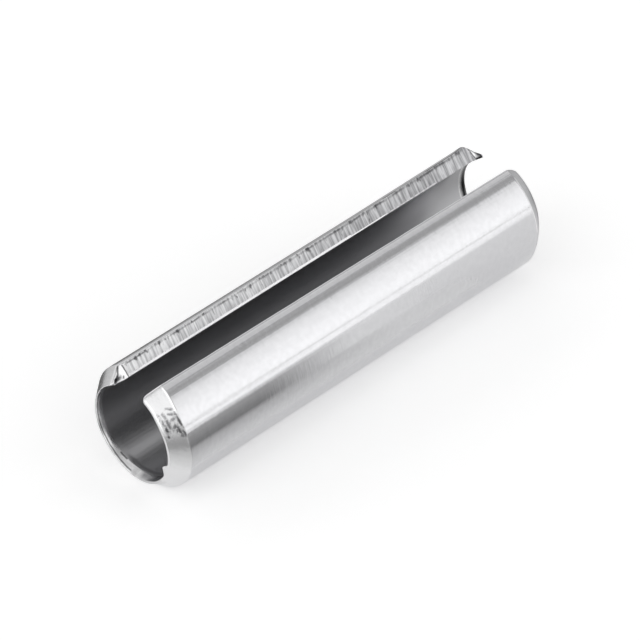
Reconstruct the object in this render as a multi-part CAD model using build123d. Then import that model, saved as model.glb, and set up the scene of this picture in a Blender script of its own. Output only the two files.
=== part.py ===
from build123d import *
import math
import os

# Slotted spring pin: a steel strip rolled into an open tube, with its ends bevelled to leads.
# The axis lies along X and the slot faces +Z. The origin is on the axis at mid-length.
# Sizes are in millimetres, for the pin as supplied, before it is pressed into its hole.

# Rolled tube
length = 24.0
outer_diameter = 6.4
wall = 0.78

# The slot springs open a little more at one end than at the other
slot_width_near = 2.6
slot_width_far = 2.98

# Each end has a lead, a cone on the outside, and a mouth, where the bore opens to a thin rim
lead_length = 0.8
mouth_length = 0.29
mouth_depth = 0.09
rim = 0.03

# The strip's corners, where its long edges meet the rims, and its long outer edges
corner_round = 0.25
edge_round = 0.05

# How far the cutting shapes reach past the metal
overrun = 0.5

outer_radius = outer_diameter / 2
bore_radius = outer_radius - wall
mouth_radius = bore_radius + mouth_depth
half_length = length / 2
x_mouth = half_length - mouth_length
x_lead = half_length - lead_length
angle_near = math.asin(slot_width_near / outer_diameter)
angle_far = math.asin(slot_width_far / outer_diameter)


def rolled_tube():
    """Closed tube with both leads and mouths, turned from the section of its wall."""
    section = Polyline(
        (-x_mouth, 0, bore_radius),
        (x_mouth, 0, bore_radius),
        (half_length, 0, mouth_radius),
        (half_length, 0, mouth_radius + rim),
        (x_lead, 0, outer_radius),
        (-x_lead, 0, outer_radius),
        (-half_length, 0, mouth_radius + rim),
        (-half_length, 0, mouth_radius),
        close=True,
    )
    return revolve(make_face(section), Axis.X)


def strip_edge_cutter():
    """Cuts the slot's +Y half: square to the wall at the strip's edge, and round its two corners."""
    angle = (angle_near + angle_far) / 2
    radial = (0, math.sin(angle), math.cos(angle))
    edge_plane = Plane(origin=(0, 0, 0), x_dir=(1, 0, 0), z_dir=radial)
    edge_near = outer_radius * math.sin(angle_near - angle)
    edge_far = outer_radius * math.sin(angle_far - angle)
    inside = corner_round + overrun
    strip = make_face(
        Polyline(
            (-half_length, edge_near),
            (half_length, edge_far),
            (half_length, inside),
            (-half_length, inside),
            close=True,
        )
    )
    strip = fillet(strip.vertices().sort_by(Axis.Y)[:2], corner_round)
    past_slot = outer_radius * math.sin(angle) + overrun
    space = Pos(0, (inside - past_slot) / 2) * Rectangle(length + 2 * overrun, inside + past_slot)
    beyond_edge = extrude(edge_plane * (space - strip), outer_radius + overrun)
    return split(beyond_edge, bisect_by=Plane.XZ, keep=Keep.BOTTOM)


def spring_pin():
    edge_cutter = strip_edge_cutter()
    pin = rolled_tube() - edge_cutter - mirror(edge_cutter, about=Plane.XZ)
    outer_edges = [
        edge
        for edge in pin.edges()
        if edge.bounding_box().size.X > half_length
        and math.isclose(math.hypot(edge.center().Y, edge.center().Z), outer_radius, abs_tol=1e-3)
    ]
    return fillet(outer_edges, edge_round)


os.makedirs("parts", exist_ok=True)
export_step(spring_pin(), "parts/spring_pin.step")
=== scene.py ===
import math

import bmesh
import bpy
from mathutils import Matrix, Vector, noise


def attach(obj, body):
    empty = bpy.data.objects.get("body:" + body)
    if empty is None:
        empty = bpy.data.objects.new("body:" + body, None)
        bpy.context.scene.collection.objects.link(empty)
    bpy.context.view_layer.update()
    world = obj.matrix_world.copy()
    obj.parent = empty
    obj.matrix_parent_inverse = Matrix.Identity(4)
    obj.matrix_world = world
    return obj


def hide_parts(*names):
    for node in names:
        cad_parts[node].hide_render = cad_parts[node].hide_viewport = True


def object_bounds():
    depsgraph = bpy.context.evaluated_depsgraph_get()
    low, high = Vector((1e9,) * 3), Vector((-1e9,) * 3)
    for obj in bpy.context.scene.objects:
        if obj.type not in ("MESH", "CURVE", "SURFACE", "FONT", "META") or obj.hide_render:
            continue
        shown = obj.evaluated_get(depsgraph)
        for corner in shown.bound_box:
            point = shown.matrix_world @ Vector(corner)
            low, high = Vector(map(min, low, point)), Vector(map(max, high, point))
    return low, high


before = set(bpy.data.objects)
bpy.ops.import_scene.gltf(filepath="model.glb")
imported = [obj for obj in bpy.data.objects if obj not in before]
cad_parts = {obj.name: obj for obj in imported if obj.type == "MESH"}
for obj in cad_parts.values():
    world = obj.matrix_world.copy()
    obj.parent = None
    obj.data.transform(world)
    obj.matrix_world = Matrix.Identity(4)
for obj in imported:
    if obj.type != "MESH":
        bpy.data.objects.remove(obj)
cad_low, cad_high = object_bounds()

# A slotted spring pin, made as the real one is: a flat strip is cut, worked and rolled round the X axis.
# The slot faces up, the near end is at -X and the front edge of the strip at -Y. Sizes are in millimetres.
METRE = 0.001
HALF_LENGTH = cad_high.x / METRE
OUTER_RADIUS = -cad_low.z / METRE
WALL = 0.78
BORE_RADIUS = OUTER_RADIUS - WALL
LEAD_LENGTH = 0.8
RIM = 0.12                     # what the lead leaves of the wall, before the mouth is opened
CORNER_ROUND = 0.25
TIP_ROUND = 0.07               # the far back corner kept its point
EDGE_BREAK = 0.014             # small bevel on every sharp edge
SHARP = 20                     # an edge is sharp where its two faces turn by more degrees than this

# Angle in degrees from the top to each edge of the slot, at the near end and at the far end
BACK_EDGE = (23.1, 28.75)
FRONT_EDGE = (24.95, 26.9)
MEAN_EDGE = 25.9

# The strip is built flat, with its width measured near the bore, and then rolled
HALF_WIDTH = math.radians(180 - MEAN_EDGE) * (BORE_RADIUS + RIM / 2)

# Both sheared edges: the outer face pulled down, a ragged face and a burr at the bore
DIE_ROLL = 0.16                # how far from the edge the outer face was pulled down
DIE_ROLL_DROP = 0.07
BACK_DROP = 0.7                # share of that drop at the near end of the back edge, none at its far end
OUTER_DEPTH = 0.25             # how deep the moves of the outer face reach into the wall
RAGGED = 0.012
RAGGED_SHALLOW = 0.3           # share of that depth where the noise is negative
RAGGED_REACH = 0.3
RAGGED_PER_MM = (2.3, 3.0)     # along the edge and through the wall
BURR = 0.005
BURR_GROWTH = 0.03             # what the burr gains towards the far end, from BURR_FROM on
BURR_FROM = 4.0
BURR_RUN = 5.0
BURR_REACH = 0.07

# Sheared face beside the bore, burnished by the punch: its height, and where along X it narrows and ends
FOOT = 0.13
NARROW_FOOT = 0.07
FOOT_NARROWS = 3.0
FOOT_ENDS = 8.3
FOOT_WANDER = 1.8
FOOT_PER_MM = 1.1

# How far from each end the sheared face was pressed smooth. At the far end it is longer at the outer face
SMOOTH_NEAR = 1.02
SMOOTH_BLEND = 0.03
SMOOTH_FAR = 0.38
SMOOTH_FAR_SLANT = 0.3

# Ends: an uneven rim, a bore opened at each mouth and a far lead that was cut a little round
RIM_UNEVEN = 0.014
RIM_REACH = 0.2
RIM_PER_MM = 1.7
MOUTH_LENGTH = 0.36
MOUTH_FLARE = 0.1
FLARE_LENGTHS = 1.1            # how far in the flare reaches, in mouth lengths, and how much that wanders
FLARE_WANDER = 0.25
MOUTH_PER_MM = 1.6
MOUTH_DEPTH = 0.1              # how deep the moves of the mouth reach into the wall
FAR_MOUTH_EXTRA = 0.1
FAR_MOUTH_LENGTH = 0.5         # pressed bright over this length
FAR_SLOT_REACH = 4.5           # the far mouth is opened less than this far from the slot
FAR_SLOT_SHARE = 0.6
FAR_CROWN = 0.05

# Bottom of the near mouth: it is opened only behind FLARE_FROM, and a blow left a round lip and a tab
FLARE_FROM = -0.8
FLARE_BLEND = 1.3
BLOW = -0.2                    # where across the strip the blow landed, and how far it reached
BLOW_REACH = 2.6
BLOW_MOUTH_EXTRA = 0.12
LIP = 0.09
LIP_FROM_END = 0.42
LIP_REACH = 0.3
LIP_THICKER = 0.09
LIP_THICKER_REACH = 0.4
TAB = 0.26
TAB_ACROSS = -2.72
TAB_WIDTH = 0.5
TAB_REACH = 0.3

# Front corner of the near lead, squeezed back and out
SQUEEZED_BACK = 0.11
SQUEEZED_SHOULDER = 0.21
SQUEEZED_OUT = 0.2
SQUEEZED_ALONG = 1.2
SQUEEZED_ACROSS = 1.6
SQUEEZED_OUT_REACH = 0.8

# Back edge: curled inwards, its face leaning back, pressed at the near end and notched beside the lead
CURL = 0.055
CURL_END = 11.5
CURL_RUN = 7.5
CURL_REACH = 4.2
CURL_AT_BORE = 0.4             # share of the curl at the bore face, all of it at the outer face
FOOT_LEAN = 0.01
FOOT_LEAN_REACH = 0.1
FACE_LEAN = 0.03
FACE_LEAN_REACH = 0.3
PRESSED = 0.07
PRESSED_REACH = 0.4
NOTCH = 0.11
NOTCH_X = -11.55
NOTCH_REACH = 0.4

# Far end of the back edge: bent inwards, its shoulder raised and its point drawn out over the slot
BEND = 0.1
BEND_ALONG = 0.7
BEND_ACROSS = 2.4
POINT_DRAWN = 0.2
POINT_REACH = 0.3
SHOULDER = 0.07
SHOULDER_REACH = 0.6

# Row of the noise that each feature reads, so that they differ
MOUTH_ROW, RIM_ROW, RAGGED_ROW, FOOT_ROW = 5.0, 3.0, 7.0, 9.0

# Slices of the flat strip, closest at its edges and ends, so that it can be worked and rolled
SLICE_HEIGHTS = (0.03, 0.07, FOOT, 0.22, 0.34, 0.46, 0.56, 0.64, 0.7)
BANDS_ACROSS = 216
SLICES_FROM_EDGE = (0.04, 0.1)
BANDS_ALONG = 72
BANDS_STOP = 1.2               # how far from each end the even bands stop
SLICES_FROM_END = (0.05, 0.1, 0.15, 0.2, 0.25, 0.3, 0.36, 0.43, 0.5, 0.58, 0.66, 0.73, 0.77, 0.84, 0.92,
                   SMOOTH_NEAR - SMOOTH_BLEND, SMOOTH_NEAR + SMOOTH_BLEND, 1.12)

# A face counts as facing a direction when more than this share of its normal lies along it
FACING = 0.75

# Marks on the flat strip, each as where it starts, where it ends and how wide it is, in X, across and out
# Painted highlights: pale lines along the near lead's rim, front edge and shoulder, where light glints on
# the edges
PAINTED_HIGHLIGHTS = [
    ((-11.95, -6.45, 0.16), (-11.95, -4.90, 0.16), 0.07),
    ((-11.85, -HALF_WIDTH + 0.04, 0.25), (-11.25, -HALF_WIDTH + 0.04, 0.73), 0.08),
    ((-11.25, -6.55, 0.74), (-11.24, -4.30, 0.74), 0.06),
]
# Painted shade on the inside of the near mouth's lip
PAINTED_SHADE_ON_LIP = [
    ((-11.72, -1.70, 0.00), (-11.76, -0.20, 0.00), 0.36),
]
# Dents where the tool chattered: their bump is their shape, their dark colour is painted shade
DENTS_WITH_PAINTED_SHADE = [
    ((-11.88, -5.80, 0.22), (-11.80, -5.20, 0.28), 0.10),
    ((-11.83, -5.36, 0.26), (-11.78, -4.90, 0.30), 0.15),
    ((-11.70, -5.72, 0.37), (-11.66, -5.40, 0.40), 0.10),
    ((-11.68, -5.40, 0.39), (-11.66, -5.10, 0.40), 0.14),
    ((-11.54, -5.82, 0.50), (-11.34, -5.70, 0.66), 0.09),
    ((-11.52, -5.60, 0.52), (-11.30, -5.48, 0.69), 0.09),
    ((-11.60, -5.28, 0.46), (-11.34, -5.36, 0.66), 0.12),
    ((-11.30, -5.50, 0.70), (-11.24, -4.92, 0.75), 0.12),
    ((-11.58, -4.96, 0.47), (-11.40, -5.12, 0.61), 0.12),
    ((-11.52, -4.80, 0.52), (-11.44, -4.92, 0.58), 0.10),
    ((-11.42, -5.05, 0.60), (-11.36, -4.66, 0.64), 0.14),
    ((-11.30, -4.84, 0.70), (-11.23, -4.62, 0.75), 0.13),
]
# Painted shade: dark spots on the front of the near lead
PAINTED_SHADE_SPOTS = [
    ((-11.81, -5.08, 0.28), (-11.79, -4.98, 0.29), 0.08),
    ((-11.84, -4.76, 0.25), (-11.83, -4.73, 0.26), 0.08),
    ((-11.27, -5.28, 0.73), (-11.25, -5.05, 0.74), 0.07),
    ((-11.39, -4.90, 0.62), (-11.38, -4.80, 0.63), 0.06),
]
# Painted shade: dark lines on the back slot face at both ends and on the bore at the near mouth
PAINTED_SHADE_LINES = [
    ((-11.25, HALF_WIDTH, 0.76), (-11.45, HALF_WIDTH, 0.40), 0.09),
    ((-11.45, HALF_WIDTH, 0.40), (-11.66, HALF_WIDTH, 0.18), 0.12),
    ((-11.66, HALF_WIDTH, 0.18), (-11.88, HALF_WIDTH - 0.06, 0.05), 0.10),
    ((-11.02, HALF_WIDTH, 0.70), (-10.97, HALF_WIDTH, 0.00), 0.05),
    ((-11.24, HALF_WIDTH, 0.10), (-11.20, HALF_WIDTH, 0.18), 0.05),
    ((-11.90, 5.20, 0.00), (-11.90, 0.60, 0.00), 0.04),
    ((-11.68, 1.55, 0.00), (-11.66, 1.15, 0.00), 0.07),
    ((11.42, HALF_WIDTH, 0.68), (11.60, HALF_WIDTH, 0.11), 0.07),
    ((11.60, HALF_WIDTH, 0.50), (11.98, HALF_WIDTH, 0.03), 0.10),
]
DULL_FOOT = [
    ((5.80, HALF_WIDTH, 0.03), (9.00, HALF_WIDTH, 0.03), 0.30),
]
# Painted shade along the outer side of the back edge, mostly towards the far end
PAINTED_SHADE_ON_EDGE = [
    ((8.80, HALF_WIDTH - 0.02, 0.76), (11.10, HALF_WIDTH - 0.02, 0.76), 0.20),
    ((5.90, HALF_WIDTH - 0.05, 0.76), (6.60, HALF_WIDTH - 0.02, 0.76), 0.10),
]
# Painted highlight: a white line along the shoulder of the far lead
PAINTED_HIGHLIGHT_FAR_SHOULDER = [
    ((11.23, -6.20, 0.75), (11.23, -3.90, 0.75), 0.08),
]
# Painted shade: a dark crescent in the far mouth and a dark streak at the far point
PAINTED_SHADE_FAR_MOUTH = [
    ((11.80, 6.50, 0.00), (11.80, 2.00, 0.00), 0.32),
    ((11.64, HALF_WIDTH, 0.02), (11.95, HALF_WIDTH, 0.05), 0.13),
]

# The stage is in metres: the floor's height, how far cards that lie on it are lifted off it, and how
# much the paper glows to the camera and in the metal
FLOOR = -OUTER_RADIUS * METRE
LAYER = 0.00002
LIFT_TO_CAMERA = 0.31
LIFT_IN_METAL = 0.21

# Directions, for the cuts through the strip and for the stage's panels
UP, DOWN = (0, 0, 1), (0, 0, -1)
TO_BACK, TO_FRONT, TO_FAR_END = (0, 1, 0), (0, -1, 0), (1, 0, 0)

scene = bpy.context.scene


def slope(distance, reach):
    """One at no distance, falling evenly to nothing at the reach."""
    return max(0.0, 1 - distance / reach)


def fade(distance, reach):
    """One at no distance, falling smoothly to nothing at the reach, on either side."""
    share = slope(abs(distance), reach)
    return share * share * (3 - 2 * share)


def clamped(share):
    """A share kept between nothing and one."""
    return min(1.0, max(0.0, share))


def cut(bm, point, normal, clear=False):
    """Cuts the strip along a plane. With clear, what lies beyond is removed and the cut is closed."""
    whole = list(bm.verts) + list(bm.edges) + list(bm.faces)
    made = bmesh.ops.bisect_plane(bm, geom=whole, dist=1e-6, plane_co=point, plane_no=normal,
                                  clear_outer=clear, clear_inner=False)
    if clear:
        edges = [e for e in made["geom_cut"] if isinstance(e, bmesh.types.BMEdge)]
        bmesh.ops.contextual_create(bm, geom=edges)


def flat_strip():
    """The strip before rolling: rounded corners, and a lead cut across the outside of each end."""
    bm = bmesh.new()
    bmesh.ops.create_grid(bm, x_segments=1, y_segments=1, size=1)
    bmesh.ops.scale(bm, vec=(HALF_LENGTH, HALF_WIDTH, 1), verts=bm.verts)
    tip = [v for v in bm.verts if v.co.x > 0 and v.co.y > 0]
    others = [v for v in bm.verts if v not in tip]
    for corners, size in ((tip, TIP_ROUND), (others, CORNER_ROUND)):
        bmesh.ops.bevel(bm, geom=corners, offset=size, offset_type="OFFSET", segments=8,
                        profile=0.5, affect="VERTICES", material=-1)
    grown = bmesh.ops.extrude_face_region(bm, geom=list(bm.faces))
    top = [v for v in grown["geom"] if isinstance(v, bmesh.types.BMVert)]
    bmesh.ops.translate(bm, verts=top, vec=(0, 0, WALL))
    for end in (-1, 1):
        shoulder = Vector((end * (HALF_LENGTH - LEAD_LENGTH), 0, WALL))
        across_lead = Vector((end * (WALL - RIM), 0, LEAD_LENGTH))
        cut(bm, shoulder, across_lead, clear=True)
    bmesh.ops.recalc_face_normals(bm, faces=bm.faces)
    sharp = [e for e in bm.edges if e.calc_face_angle(0) > math.radians(SHARP)]
    bmesh.ops.bevel(bm, geom=sharp, offset=EDGE_BREAK, offset_type="OFFSET", segments=2,
                    profile=0.5, affect="EDGES", material=-1, clamp_overlap=True)
    return bm


def slice_strip(bm):
    """Cuts the strip into narrow bands in its three directions."""
    for out in SLICE_HEIGHTS:
        cut(bm, Vector((0, 0, out)), Vector(UP))
    places = [HALF_WIDTH * (2 * n / BANDS_ACROSS - 1) for n in range(1, BANDS_ACROSS)]
    places += [side * (HALF_WIDTH - d) for d in SLICES_FROM_EDGE for side in (-1, 1)]
    for across in places:
        cut(bm, Vector((0, across, 0)), Vector(TO_BACK))
    reach = HALF_LENGTH - BANDS_STOP
    places = [reach * (2 * n / BANDS_ALONG - 1) for n in range(BANDS_ALONG + 1)]
    places += [end * (HALF_LENGTH - d) for d in SLICES_FROM_END for end in (-1, 1)]
    for x in places:
        cut(bm, Vector((x, 0, 0)), Vector(TO_FAR_END))


def outer_height(x):
    """Height of the strip's outer face above its bore face."""
    from_end = HALF_LENGTH - abs(x)
    return min(WALL, RIM + (WALL - RIM) * from_end / LEAD_LENGTH)


def angle_at(x, across):
    """Angle round the axis from the bottom, positive towards the slot's back edge."""
    near, far = (math.radians(degrees) for degrees in (BACK_EDGE if across > 0 else FRONT_EDGE))
    opening = near + (far - near) * (x + HALF_LENGTH) / (2 * HALF_LENGTH)
    return across / HALF_WIDTH * (math.pi - opening)


def mouth(x, across, out):
    """How far the metal at the ends of the bore moves outwards: a flare, with a lip and a tab that stand
    into the bore at the bottom of the near mouth."""
    end = -1 if x < 0 else 1
    from_end = HALF_LENGTH - abs(x)
    near_bore = fade(out, MOUTH_DEPTH)
    wander = FLARE_WANDER * noise.noise(Vector((across * MOUTH_PER_MM, MOUTH_ROW * end, 0)))
    reach = MOUTH_LENGTH * (FLARE_LENGTHS + wander)
    if end > 0:
        beside_slot = fade(HALF_WIDTH - across, FAR_SLOT_REACH)
        flare = MOUTH_FLARE * (1 - FAR_SLOT_SHARE * beside_slot)
        return flare * slope(from_end, reach + FAR_MOUTH_EXTRA) ** 1.5 * near_bore
    back = clamped((across - FLARE_FROM) / FLARE_BLEND)
    struck = fade(across - BLOW, BLOW_REACH)
    flared = MOUTH_FLARE * back * slope(from_end, reach + BLOW_MOUTH_EXTRA * struck) ** 2 * near_bore
    lip = LIP * struck * fade(from_end - LIP_FROM_END, LIP_REACH) * near_bore
    tab = TAB * fade(across - TAB_ACROSS, TAB_WIDTH) * fade(from_end, TAB_REACH) * near_bore
    thicker = LIP_THICKER * struck * slope(from_end, LIP_THICKER_REACH) ** 2
    return flared - lip - tab + thicker


def squeeze_front_corner(moved, x, from_edge):
    """Moves the front corner of the near lead back along the pin and out over the slot."""
    from_end = HALF_LENGTH + x
    if from_end < LEAD_LENGTH:
        back = SQUEEZED_BACK + (SQUEEZED_SHOULDER - SQUEEZED_BACK) * from_end / LEAD_LENGTH
    else:
        back = SQUEEZED_SHOULDER * fade(from_end - LEAD_LENGTH, SQUEEZED_ALONG)
    moved.x += back * fade(from_edge, SQUEEZED_ACROSS)
    moved.y -= SQUEEZED_OUT * slope(from_end, LEAD_LENGTH) * fade(from_edge, SQUEEZED_OUT_REACH)


def work_back_edge(moved, x, out, from_edge, to_far, near_outer):
    """Curls the back edge inwards, leans its face back, presses and notches its near end, and bends its
    far end in, with the point drawn out over the slot as a burr."""
    curl = CURL * clamped((CURL_END - x) / CURL_RUN) * fade(from_edge, CURL_REACH)
    moved.z -= curl * (CURL_AT_BORE + (1 - CURL_AT_BORE) * out / WALL)
    moved.y += FOOT_LEAN * slope(out, FOOT) * fade(from_edge, FOOT_LEAN_REACH)
    moved.y -= FACE_LEAN * (1 - to_far) * out / WALL * fade(from_edge, FACE_LEAN_REACH)
    pressed = clamped((SMOOTH_NEAR + SMOOTH_BLEND - HALF_LENGTH - x) / (2 * SMOOTH_BLEND))
    moved.y -= PRESSED * pressed * out / WALL * fade(from_edge, PRESSED_REACH)
    notch = NOTCH * fade(x - NOTCH_X, NOTCH_REACH) * fade(out, NOTCH_REACH)
    moved.y -= notch * fade(from_edge, NOTCH_REACH)
    from_far = HALF_LENGTH - x
    from_shoulder = HALF_LENGTH - LEAD_LENGTH - x
    moved.z -= BEND * fade(from_far, BEND_ALONG) * fade(from_edge, BEND_ACROSS)
    moved.y += POINT_DRAWN * fade(math.hypot(from_far, from_edge), POINT_REACH)
    moved.z += SHOULDER * fade(math.hypot(from_shoulder, from_edge), SHOULDER_REACH) * near_outer


def work(co):
    """Moves a point of the flat strip where shearing, coining and handling have moved the metal."""
    x, across, out = co
    end = -1 if x < 0 else 1
    from_end = HALF_LENGTH - abs(x)
    from_edge = HALF_WIDTH - abs(across)
    to_far = (x + HALF_LENGTH) / (2 * HALF_LENGTH)
    near_outer = fade(outer_height(x) - out, OUTER_DEPTH)
    drop = DIE_ROLL_DROP * (BACK_DROP * (1 - to_far) if across > 0 else 1)
    dropped = drop * slope(from_edge, DIE_ROLL) ** 2 * near_outer
    rim_noise = noise.noise(Vector((across * RIM_PER_MM, RIM_ROW + end, 0)))
    uneven = RIM_UNEVEN * (0.5 + 0.5 * rim_noise) * fade(from_end, RIM_REACH)
    moved = Vector((x - end * uneven, across, out - dropped + mouth(x, across, out)))
    if x > 0:
        moved.z += FAR_CROWN * math.sin(math.pi * min(1.0, from_end / LEAD_LENGTH)) * near_outer
    along, through = RAGGED_PER_MM
    edge_noise = noise.noise(Vector((x * along, RAGGED_ROW * end, out * through)))
    ragged = RAGGED * edge_noise * fade(from_edge, RAGGED_REACH)
    moved.y -= math.copysign(max(0.0, ragged) + RAGGED_SHALLOW * max(0.0, -ragged), across)
    burr = BURR + BURR_GROWTH * clamped((x - BURR_FROM) / BURR_RUN)
    moved.z -= burr * fade(out, BURR_REACH) * fade(from_edge, BURR_REACH)
    if across > 0:
        work_back_edge(moved, x, out, from_edge, to_far, near_outer)
    elif x < 0:
        squeeze_front_corner(moved, x, from_edge)
    return moved


def roll(bm):
    """Bends the flat strip round the axis, with its middle at the bottom and its edges at the slot."""
    for v in bm.verts:
        x, across, out = work(v.co)
        angle = angle_at(x, across)
        radius = BORE_RADIUS + out
        v.co = Vector((x, radius * math.sin(angle), -radius * math.cos(angle)))


DRAWN, SHEARED, BORE, COINED, GROUND = range(5)


def edge_finish(centre):
    """Finish of a sheared face: pressed smooth at its ends and along its foot, and torn between."""
    from_end = HALF_LENGTH - abs(centre.x)
    smooth_end = SMOOTH_NEAR if centre.x < 0 else SMOOTH_FAR + SMOOTH_FAR_SLANT * centre.z / WALL
    patchy = centre.x + FOOT_WANDER * noise.noise(Vector((centre.x * FOOT_PER_MM, FOOT_ROW, 0)))
    foot = FOOT if patchy < FOOT_NARROWS else NARROW_FOOT if patchy < FOOT_ENDS else 0
    return COINED if from_end < smooth_end or centre.z < foot else SHEARED


def finish_of(centre, normal):
    """Which of the strip's finishes a face of the flat strip has."""
    from_end = HALF_LENGTH - abs(centre.x)
    corner = TIP_ROUND if centre.x > 0 and centre.y > 0 else CORNER_ROUND
    if abs(normal.y) > FACING and from_end > corner:
        return edge_finish(centre)
    if normal.z < -FACING:
        return COINED if from_end < (MOUTH_LENGTH if centre.x < 0 else FAR_MOUTH_LENGTH) else BORE
    if from_end < LEAD_LENGTH:
        return COINED if centre.x < 0 else GROUND
    return DRAWN


def rolled_strip(finishes):
    """The pin, with each point's place on the flat strip kept in millimetres for its materials."""
    bm = flat_strip()
    slice_strip(bm)
    flat = bm.verts.layers.float_vector.new("flat")
    for v in bm.verts:
        v[flat] = v.co
    for face in bm.faces:
        face.material_index = finish_of(face.calc_center_median(), face.normal)
        face.smooth = True
    roll(bm)
    bmesh.ops.remove_doubles(bm, verts=bm.verts, dist=1e-5)
    bmesh.ops.recalc_face_normals(bm, faces=bm.faces)
    # the solid's round is made of flats, so its box is a hair narrower than its true diameter
    bmesh.ops.scale(bm, vec=(METRE, cad_high.y / OUTER_RADIUS, METRE), verts=bm.verts)
    mesh = bpy.data.meshes.new("rolled_strip")
    bm.to_mesh(mesh)
    bm.free()
    for finish in finishes:
        mesh.materials.append(finish)
    piece = bpy.data.objects.new("rolled_strip", mesh)
    scene.collection.objects.link(piece)
    keep_flat = piece.modifiers.new("keep_flat", "WEIGHTED_NORMAL")
    keep_flat.mode = "FACE_AREA_WITH_ANGLE"
    keep_flat.weight = 80
    return piece


def linear(code):
    """A linear colour from an sRGB hex code."""
    shares = [int(code[i:i + 2], 16) / 255 for i in (0, 2, 4)]
    return tuple(c / 12.92 if c <= 0.04045 else ((c + 0.055) / 1.055) ** 2.4 for c in shares) + (1,)


def add(tree, kind, settings=None, **links):
    """Adds a node, with its properties or socket values in settings and the sockets that feed it as links.
    Sockets that share a name go by number: a mix of colours takes 6 and 7 and gives 2, and a mix of
    numbers takes 2 and 3."""
    node = tree.nodes.new(kind)
    for name, value in (settings or {}).items():
        if isinstance(name, int) or name in node.inputs:
            node.inputs[name].default_value = value
        else:
            setattr(node, name, value)
    for name, source in links.items():
        socket = int(name[1:]) if name[0] == "_" else name.replace("_", " ")
        tree.links.new(source, node.inputs[socket])
    return node


def metal(name, colour, roughness):
    """A bare metal whose pattern is left to the caller: the material, its nodes, its shader, and where
    each point lies on the flat strip, in millimetres."""
    mat = bpy.data.materials.new(name)
    mat.use_nodes = True
    tree = mat.node_tree
    shader = tree.nodes["Principled BSDF"]
    shader.inputs["Base Color"].default_value = linear(colour)
    shader.inputs["Metallic"].default_value = 1
    shader.inputs["Roughness"].default_value = roughness
    flat = add(tree, "ShaderNodeAttribute", {"attribute_name": "flat"}).outputs["Vector"]
    return mat, tree, shader, flat


def grain(tree, flat, per_mm, detail=3.0):
    """Noise on the flat strip, with its counts per millimetre along, across and through it, and so drawn
    out along the smaller counts. It lies mostly between 0.3 and 0.7, and what reads it looks there."""
    scaled = add(tree, "ShaderNodeVectorMath", {"operation": "MULTIPLY", 1: per_mm}, _0=flat)
    return add(tree, "ShaderNodeTexNoise", {"Scale": 1.0, "Detail": detail},
               Vector=scaled.outputs[0]).outputs["Fac"]


def warped(tree, flat, per_mm, reach):
    """Places on the flat strip pushed about by noise, so that straight marks wander and break."""
    push = add(tree, "ShaderNodeTexNoise", {"Scale": per_mm, "Detail": 3.0}, Vector=flat).outputs["Color"]
    push = add(tree, "ShaderNodeVectorMath", {"operation": "SUBTRACT", 1: (0.5, 0.5, 0.5)},
               _0=push).outputs[0]
    push = add(tree, "ShaderNodeVectorMath", {"operation": "SCALE", "Scale": reach}, _0=push).outputs[0]
    return add(tree, "ShaderNodeVectorMath", {"operation": "ADD"}, _0=flat, _1=push).outputs[0]


def stroke(tree, flat, start, end, width):
    """One along a mark between two points of the flat strip, falling to nothing at its width."""
    start, end = Vector(start), Vector(end)
    run = end - start
    from_start = add(tree, "ShaderNodeVectorMath", {"operation": "SUBTRACT", 1: start}, _0=flat).outputs[0]
    share = add(tree, "ShaderNodeVectorMath", {"operation": "DOT_PRODUCT", 1: run / run.length_squared},
                _0=from_start).outputs["Value"]
    share = add(tree, "ShaderNodeClamp", Value=share).outputs[0]
    nearest = add(tree, "ShaderNodeVectorMath", {"operation": "SCALE", 0: run}, Scale=share).outputs[0]
    gap = add(tree, "ShaderNodeVectorMath", {"operation": "DISTANCE"},
              _0=from_start, _1=nearest).outputs["Value"]
    return add(tree, "ShaderNodeMapRange",
               {"From Min": 0.1 * width, "From Max": width, "To Min": 1.0, "To Max": 0.0},
               Value=gap).outputs[0]


def marked(tree, place, marks, below, colour, broken=0.0):
    """Lays marks of one colour over the colour below them, with gaps of noise in them where broken is
    high. Returns the colour and where the marks are."""
    strokes = [stroke(tree, place, *mark) for mark in marks]
    deepest = strokes[0]
    for other in strokes[1:]:
        deepest = add(tree, "ShaderNodeMath", {"operation": "MAXIMUM"}, _0=deepest, _1=other).outputs[0]
    if broken:
        gaps = grain(tree, place, (6.0, 6.0, 6.0), 2.0)
        kept = add(tree, "ShaderNodeMapRange", {"From Min": 0.38, "From Max": 0.56, "To Min": 1 - broken},
                   Value=gaps).outputs[0]
        deepest = add(tree, "ShaderNodeMath", {"operation": "MULTIPLY"}, _0=deepest, _1=kept).outputs[0]
    tone = add(tree, "ShaderNodeMix", {"data_type": "RGBA", 7: linear(colour)}, _0=deepest, _6=below)
    return tone.outputs[2], deepest


def drawn_stainless():
    """Stainless strip, bright from drawing: a soft mirror, feathered by fine marks across it and a few
    lines along it, and faintly mottled. The real marks are finer than a pixel of the render, so these
    are as coarse as they need to be to show."""
    mat, tree, shader, flat = metal("drawn_stainless", "D3D3D5", 0.15)
    mottle = grain(tree, flat, (4.0, 4.0, 4.0), 4.0)
    spread = add(tree, "ShaderNodeMapRange", {"From Min": 0.35, "From Max": 0.65}, Value=mottle).outputs[0]
    tone = add(tree, "ShaderNodeMix", {"data_type": "RGBA", 6: linear("D1D1D3"), 7: linear("D5D5D7")},
               _0=spread).outputs[2]
    # painted shade along the outer side of the back edge
    tone, _ = marked(tree, warped(tree, flat, 3.0, 0.05), PAINTED_SHADE_ON_EDGE, tone, "8C8C8E")
    tree.links.new(tone, shader.inputs["Base Color"])
    across = grain(tree, flat, (9.0, 1.5, 1.0))
    along = grain(tree, flat, (0.05, 14.0, 1.0), 2.0)
    both = add(tree, "ShaderNodeMath", {"operation": "MULTIPLY_ADD", 1: 0.4},
               _0=along, _2=across).outputs[0]
    bump = add(tree, "ShaderNodeBump", {"Strength": 1.0, "Distance": 8e-6}, Height=both)
    tree.links.new(bump.outputs[0], shader.inputs["Normal"])
    return mat


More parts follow.
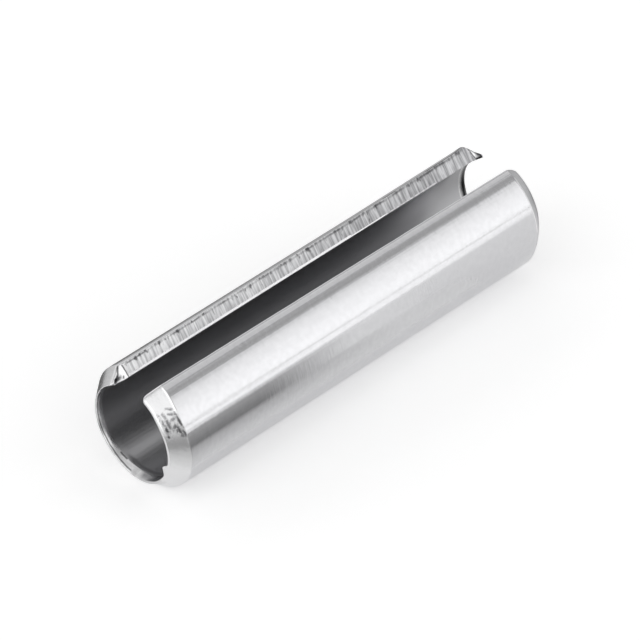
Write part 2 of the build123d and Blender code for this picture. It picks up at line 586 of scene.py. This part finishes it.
def torn_colour(tree, streaks, along):
    """Streaks of bright and dull metal, both of them duller towards the far end."""
    far = add(tree, "ShaderNodeMapRange", {"From Min": -HALF_LENGTH, "From Max": HALF_LENGTH},
              Value=along).outputs[0]
    bright = add(tree, "ShaderNodeMix", {"data_type": "RGBA", 6: linear("F8F8F9"), 7: linear("CACACC")},
                 _0=far).outputs[2]
    dull = add(tree, "ShaderNodeMix", {"data_type": "RGBA", 6: linear("C4C4C6"), 7: linear("8A8A8C")},
               _0=far).outputs[2]
    light = add(tree, "ShaderNodeMapRange", {"From Min": 0.36, "From Max": 0.64}, Value=streaks).outputs[0]
    return add(tree, "ShaderNodeMix", {"data_type": "RGBA"}, _0=light, _6=dull, _7=bright).outputs[2]


def hanging_tears(tree, flat, out, below):
    """Short dark tears that hang from the line where the torn face meets the rounded outer corner."""
    tears = grain(tree, flat, (5.5, 1.0, 2.2), 2.0)
    low = add(tree, "ShaderNodeMapRange",
              {"From Min": 0.42, "From Max": 0.62, "To Min": 0.16, "To Max": 0.0}, Value=out).outputs[0]
    tears = add(tree, "ShaderNodeMath", {"operation": "ADD"}, _0=tears, _1=low).outputs[0]
    whole = add(tree, "ShaderNodeMapRange", {"From Min": 0.33, "From Max": 0.47}, Value=tears).outputs[0]
    return add(tree, "ShaderNodeMix", {"data_type": "RGBA", 6: linear("707072")},
               _0=whole, _7=below).outputs[2]


def painted_corner_shade(tree, flat, out, below):
    """A dark line painted along the rounded outer corner as shade, which wanders, and fades in patches of
    noise.
    """
    line_height, wander_height = 0.73, 0.08    # the noise lowers the line to about 0.69
    wander = grain(tree, flat, (2.0, 1.0, 0.1))
    height = add(tree, "ShaderNodeMath", {"operation": "MULTIPLY_ADD", 1: wander_height},
                 _0=wander, _2=out).outputs[0]
    off_line = add(tree, "ShaderNodeMath", {"operation": "SUBTRACT", 1: line_height}, _0=height).outputs[0]
    off_line = add(tree, "ShaderNodeMath", {"operation": "ABSOLUTE"}, _0=off_line).outputs[0]
    broken = grain(tree, flat, (1.6, 1.0, 0.1))
    faint = add(tree, "ShaderNodeMapRange",
                {"From Min": 0.4, "From Max": 0.6, "To Min": 0.3, "To Max": 0.75}, Value=broken).outputs[0]
    clear = add(tree, "ShaderNodeMapRange", {"From Min": 0.02, "From Max": 0.09}, Value=off_line,
                To_Min=faint).outputs[0]
    return add(tree, "ShaderNodeMix", {"data_type": "RGBA", 6: linear("38383A")},
               _0=clear, _7=below).outputs[2]


def sheared_stainless():
    """The strip's sheared edge: torn across its thickness, so it is streaked in fine cross lines."""
    mat, tree, shader, flat = metal("sheared_stainless", "CFCFD0", 0.42)
    streaks = grain(tree, flat, (10.0, 1.0, 0.8))
    bump = add(tree, "ShaderNodeBump", {"Strength": 1.0, "Distance": 16e-6}, Height=streaks)
    tree.links.new(bump.outputs[0], shader.inputs["Normal"])
    place = add(tree, "ShaderNodeSeparateXYZ", Vector=flat)
    tone = torn_colour(tree, streaks, place.outputs["X"])
    tone = hanging_tears(tree, flat, place.outputs["Z"], tone)
    # painted shade along the rounded outer corner
    tone = painted_corner_shade(tree, flat, place.outputs["Z"], tone)
    tree.links.new(tone, shader.inputs["Base Color"])
    return mat


def bore_stainless():
    """Inside of the strip, drawn but not polished: darker and duller than the outside, with long lines."""
    mat, tree, shader, flat = metal("bore_stainless", "B6B6B8", 0.34)
    lines = grain(tree, flat, (0.08, 7.0, 1.0))
    bump = add(tree, "ShaderNodeBump", {"Strength": 1.0, "Distance": 4.5e-6}, Height=lines)
    tree.links.new(bump.outputs[0], shader.inputs["Normal"])
    return mat


def coined_stainless():
    """The near lead, the rims and the burnished edges, pressed smooth: pale satin with a mottle and, where
    the tool chattered on the front of the lead, a cluster of dents, bumped and painted dark as shade.
    Painted highlights and painted shade lie over it at edges, at the lip and in the far mouth."""
    mat, tree, shader, flat = metal("coined_stainless", "E4E4E5", 0.27)
    mottle = grain(tree, flat, (5.0, 4.0, 4.0), 4.0)
    # the squeezed front corner is a little duller inside the painted highlight along its border
    across = add(tree, "ShaderNodeSeparateXYZ", Vector=flat).outputs["Y"]
    corner = add(tree, "ShaderNodeMapRange", {"From Min": -4.6, "From Max": -5.4}, Value=across).outputs[0]
    tone = add(tree, "ShaderNodeMix", {"data_type": "RGBA", 6: linear("E4E4E5"), 7: linear("DCDCDD")},
               _0=corner).outputs[2]
    # painted highlights along the edges of the near lead
    tone, _ = marked(tree, flat, PAINTED_HIGHLIGHTS, tone, "F8F8F9")
    # painted shade on the lip of the near mouth
    tone, _ = marked(tree, flat, PAINTED_SHADE_ON_LIP, tone, "8E8E90")
    # the dents' dark colour is painted shade; where they lie also shapes the bump
    tone, dented = marked(tree, warped(tree, flat, 7.0, 0.14), DENTS_WITH_PAINTED_SHADE, tone, "7C7C7E", broken=0.75)
    # painted shade in dark spots and lines
    tone, _ = marked(tree, warped(tree, flat, 3.0, 0.06), PAINTED_SHADE_SPOTS + PAINTED_SHADE_LINES, tone, "505052")
    tone, _ = marked(tree, flat, DULL_FOOT, tone, "B0B0B2", broken=0.5)
    # painted shade in the far mouth and at the far point
    tone, _ = marked(tree, flat, PAINTED_SHADE_FAR_MOUTH, tone, "202022")
    tree.links.new(tone, shader.inputs["Base Color"])
    height = add(tree, "ShaderNodeMath", {"operation": "MULTIPLY_ADD", 1: -0.6},
                 _0=dented, _2=mottle).outputs[0]
    bump = add(tree, "ShaderNodeBump", {"Strength": 1.0, "Distance": 8e-6}, Height=height)
    tree.links.new(bump.outputs[0], shader.inputs["Normal"])
    return mat


def ground_stainless():
    """The far lead, ground rather than pressed: grey, almost matt, and ringed by the wheel's cut."""
    mat, tree, shader, flat = metal("ground_stainless", "D0D0D2", 0.45)
    place = add(tree, "ShaderNodeTexCoord").outputs["Object"]
    uneven = add(tree, "ShaderNodeTexNoise", {"Scale": 0.9 / METRE, "Detail": 2.0},
                 Vector=place).outputs["Fac"]
    tone = add(tree, "ShaderNodeMix", {"data_type": "RGBA", 6: linear("C4C4C6"), 7: linear("D6D6D8")},
               _0=uneven).outputs[2]
    # painted highlight along the shoulder of the far lead
    tone, _ = marked(tree, flat, PAINTED_HIGHLIGHT_FAR_SHOULDER, tone, "FFFFFF")
    tree.links.new(tone, shader.inputs["Base Color"])
    rings = grain(tree, flat, (9.0, 0.6, 2.0))
    bump = add(tree, "ShaderNodeBump", {"Strength": 1.0, "Distance": 12e-6}, Height=rings)
    tree.links.new(bump.outputs[0], shader.inputs["Normal"])
    return mat


def card(name, width, height, place, towards, along=TO_FAR_END):
    """A flat stage panel in metres, centred on its place. It faces one direction, and its width runs along
    another."""
    bm = bmesh.new()
    bmesh.ops.create_grid(bm, x_segments=1, y_segments=1, size=0.5, calc_uvs=True)
    bmesh.ops.scale(bm, vec=(width, height, 1), verts=bm.verts)
    mesh = bpy.data.meshes.new(name)
    bm.to_mesh(mesh)
    bm.free()
    panel = bpy.data.objects.new(name, mesh)
    upright = Vector(towards).cross(Vector(along))
    turned = Matrix((along, upright, towards)).transposed().to_4x4()
    mesh.transform(Matrix.Translation(place) @ turned)
    scene.collection.objects.link(panel)
    return panel


def glow(panel, first, last=None, start=0.0, stop=1.0, axis="Z", fade_from=1.0, fade_to=2.0, faded=0.0):
    """Lights a panel evenly, or from a first strength to a last along an axis, unseen by the camera. Past
    fade_from in X the light changes to the faded strength, which it has at fade_to."""
    last = first if last is None else last
    mat = bpy.data.materials.new(panel.name + "_glow")
    mat.use_nodes = True
    tree = mat.node_tree
    tree.nodes.clear()
    place = add(tree, "ShaderNodeTexCoord").outputs["Object"]
    place = add(tree, "ShaderNodeSeparateXYZ", Vector=place)
    strength = add(tree, "ShaderNodeMapRange",
                   {"From Min": start, "From Max": stop, "To Min": first, "To Max": last},
                   Value=place.outputs[axis]).outputs[0]
    past = add(tree, "ShaderNodeMapRange", {"From Min": fade_from, "From Max": fade_to},
               Value=place.outputs["X"])
    mixed = add(tree, "ShaderNodeMix", {3: faded}, _0=past.outputs[0], _2=strength)
    light = add(tree, "ShaderNodeEmission", Strength=mixed.outputs[0])
    add(tree, "ShaderNodeOutputMaterial", Surface=light.outputs[0])
    panel.data.materials.append(mat)
    panel.visible_camera = False
    return panel


def only_mirrored(panel):
    """Keeps a card out of the picture and its light off the floor, so that only the metal shows it."""
    panel.visible_diffuse = False
    panel.visible_shadow = False


def paper_floor():
    """White paper under the pin, lifted to read as white to the camera, and less so in the metal."""
    floor = card("paper_floor", 1.6, 1.6, (0, 0, FLOOR), UP)
    mat = bpy.data.materials.new("white_paper")
    mat.use_nodes = True
    tree = mat.node_tree
    tree.nodes.clear()
    paper = add(tree, "ShaderNodeBsdfDiffuse", {"Color": linear("F8F8F8")})
    path = add(tree, "ShaderNodeLightPath")
    mirrored = add(tree, "ShaderNodeMath", {"operation": "MULTIPLY", 1: LIFT_IN_METAL},
                   _0=path.outputs["Is Glossy Ray"])
    lift = add(tree, "ShaderNodeMath", {"operation": "MULTIPLY_ADD", 1: LIFT_TO_CAMERA},
               _0=path.outputs["Is Camera Ray"], _2=mirrored.outputs[0])
    white = add(tree, "ShaderNodeEmission", Strength=lift.outputs[0])
    both = add(tree, "ShaderNodeAddShader", _0=paper.outputs[0], _1=white.outputs[0])
    add(tree, "ShaderNodeOutputMaterial", Surface=both.outputs[0])
    floor.data.materials.append(mat)


def pale_tent():
    """A world that lights the pin softly from all round and is white to the camera."""
    world = bpy.data.worlds.new("tent")
    world.use_nodes = True
    tree = world.node_tree
    seen = add(tree, "ShaderNodeLightPath").outputs["Is Camera Ray"]
    strength = add(tree, "ShaderNodeMapRange", {"To Min": 0.45, "To Max": 1.0}, Value=seen).outputs[0]
    tree.links.new(strength, tree.nodes["Background"].inputs["Strength"])
    tree.nodes["Background"].inputs["Color"].default_value = (1, 1, 1, 1)
    scene.world = world


def soft_boxes():
    """Lights the scene from the front, the left, above and behind."""
    glow(card("front_box", 0.64, 0.764, (0.4, -0.5, 0.448), TO_BACK), 1.5, 1.0, 0.066, 0.83)
    glow(card("front_left_box", 0.46, 0.4, (-0.17, -0.5, 0.25), TO_BACK), 1.2)
    glow(card("low_front_strip", 0.64, 0.046, (0.4, -0.5, 0.023), TO_BACK), 1.5)
    glow(card("overhead_strip", 1.0, 0.19, (0.25, -0.105, 0.6), DOWN), 0.8)
    glow(card("back_box", 1.6, 0.7, (0, 0.6, 0.4), TO_FRONT), 1.0, 0.8, 0.05, 0.75)
    glow(card("left_box", 0.85, 0.85, (-0.6, -0.07, 0.48), TO_FAR_END, along=TO_BACK), 1.35)


def metal_cards():
    """Shapes what the metal mirrors, as a photographer's flags and reflectors do."""
    # dark on the floor behind the pin and past its far end, and grey under its far mouth
    behind = card("behind_card", 0.076, 0.085, (0.024, 0.0475, FLOOR + LAYER), UP)
    only_mirrored(glow(behind, 0.06, 0.7, -0.01, 0.03, "X"))
    past_end = card("end_card", 0.0105, 0.01, (0.02075, 0.004, FLOOR + 2 * LAYER), UP)
    only_mirrored(glow(past_end, 0.01))
    under_mouth = card("mouth_card", 0.0032, 0.007, (0.0139, 0.0027, FLOOR + 2 * LAYER), UP)
    only_mirrored(glow(under_mouth, 0.6))
    # grey before the near half, upright on the floor and along the pin's foot
    height = 0.0037
    grey = card("grey_card", 0.03, height, (-0.008, -0.008, FLOOR + height / 2), TO_BACK)
    only_mirrored(glow(grey, 0.2, 0.47, FLOOR, FLOOR + height,
                       fade_from=-0.0033, fade_to=0.0022, faded=0.95))
    foot = card("grey_foot", 0.03, 0.0043, (-0.006, -0.00585, FLOOR + 3 * LAYER), UP)
    only_mirrored(glow(foot, 0.46, 0.84, -0.008, -0.0037, "Y",
                       fade_from=-0.003, fade_to=0.005, faded=0.88))
    # bright on the floor in front and overhead for the rolled edge, and fading behind the top
    sheen = card("floor_sheen", 0.8, 0.42, (0.4, -0.29, FLOOR + 2 * LAYER), UP)
    only_mirrored(glow(sheen, 1.45))
    over_slot = card("slot_strip", 1.0, 0.3, (0.25, 0.145, 0.6), DOWN)
    only_mirrored(glow(over_slot, 0.88))
    top_back = card("top_card", 0.07, 0.0095, (0.02, 0.0205, 0.0016), TO_FRONT)
    only_mirrored(glow(top_back, 0.62, 0.4, -0.006, 0.02, "X"))


def camera():
    """The photograph's view, fitted to the pin's edges: a long lens from above the near end."""
    azimuth, elevation, turn = (math.radians(degrees) for degrees in (-39.6314, 35.4088, -6.7188))
    distance, off_right, off_up = 243.43, -0.0604, -0.2745
    focal_pixels, image_width = 5191.24, 640
    back = Vector((math.sin(azimuth) * math.cos(elevation), -math.cos(azimuth) * math.cos(elevation),
                   math.sin(elevation)))
    level = Vector(UP).cross(back).normalized()
    upright = back.cross(level)
    right = level * math.cos(turn) + upright * math.sin(turn)
    up = upright * math.cos(turn) - level * math.sin(turn)
    data = bpy.data.cameras.new("camera")
    data.sensor_width = 36
    data.lens = focal_pixels / image_width * data.sensor_width
    data.clip_start, data.clip_end = 0.01, 10
    cam = bpy.data.objects.new("camera", data)
    place = (back * distance + right * off_right + up * off_up) * METRE
    cam.matrix_world = Matrix.Translation(place) @ Matrix((right, up, back)).transposed().to_4x4()
    scene.collection.objects.link(cam)
    scene.camera = cam


strip = rolled_strip([drawn_stainless(), sheared_stainless(), bore_stainless(), coined_stainless(),
                      ground_stainless()])
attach(strip, "root")
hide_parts("spring_pin")
paper_floor()
pale_tent()
soft_boxes()
metal_cards()
camera()
scene.view_settings.view_transform = "Standard"
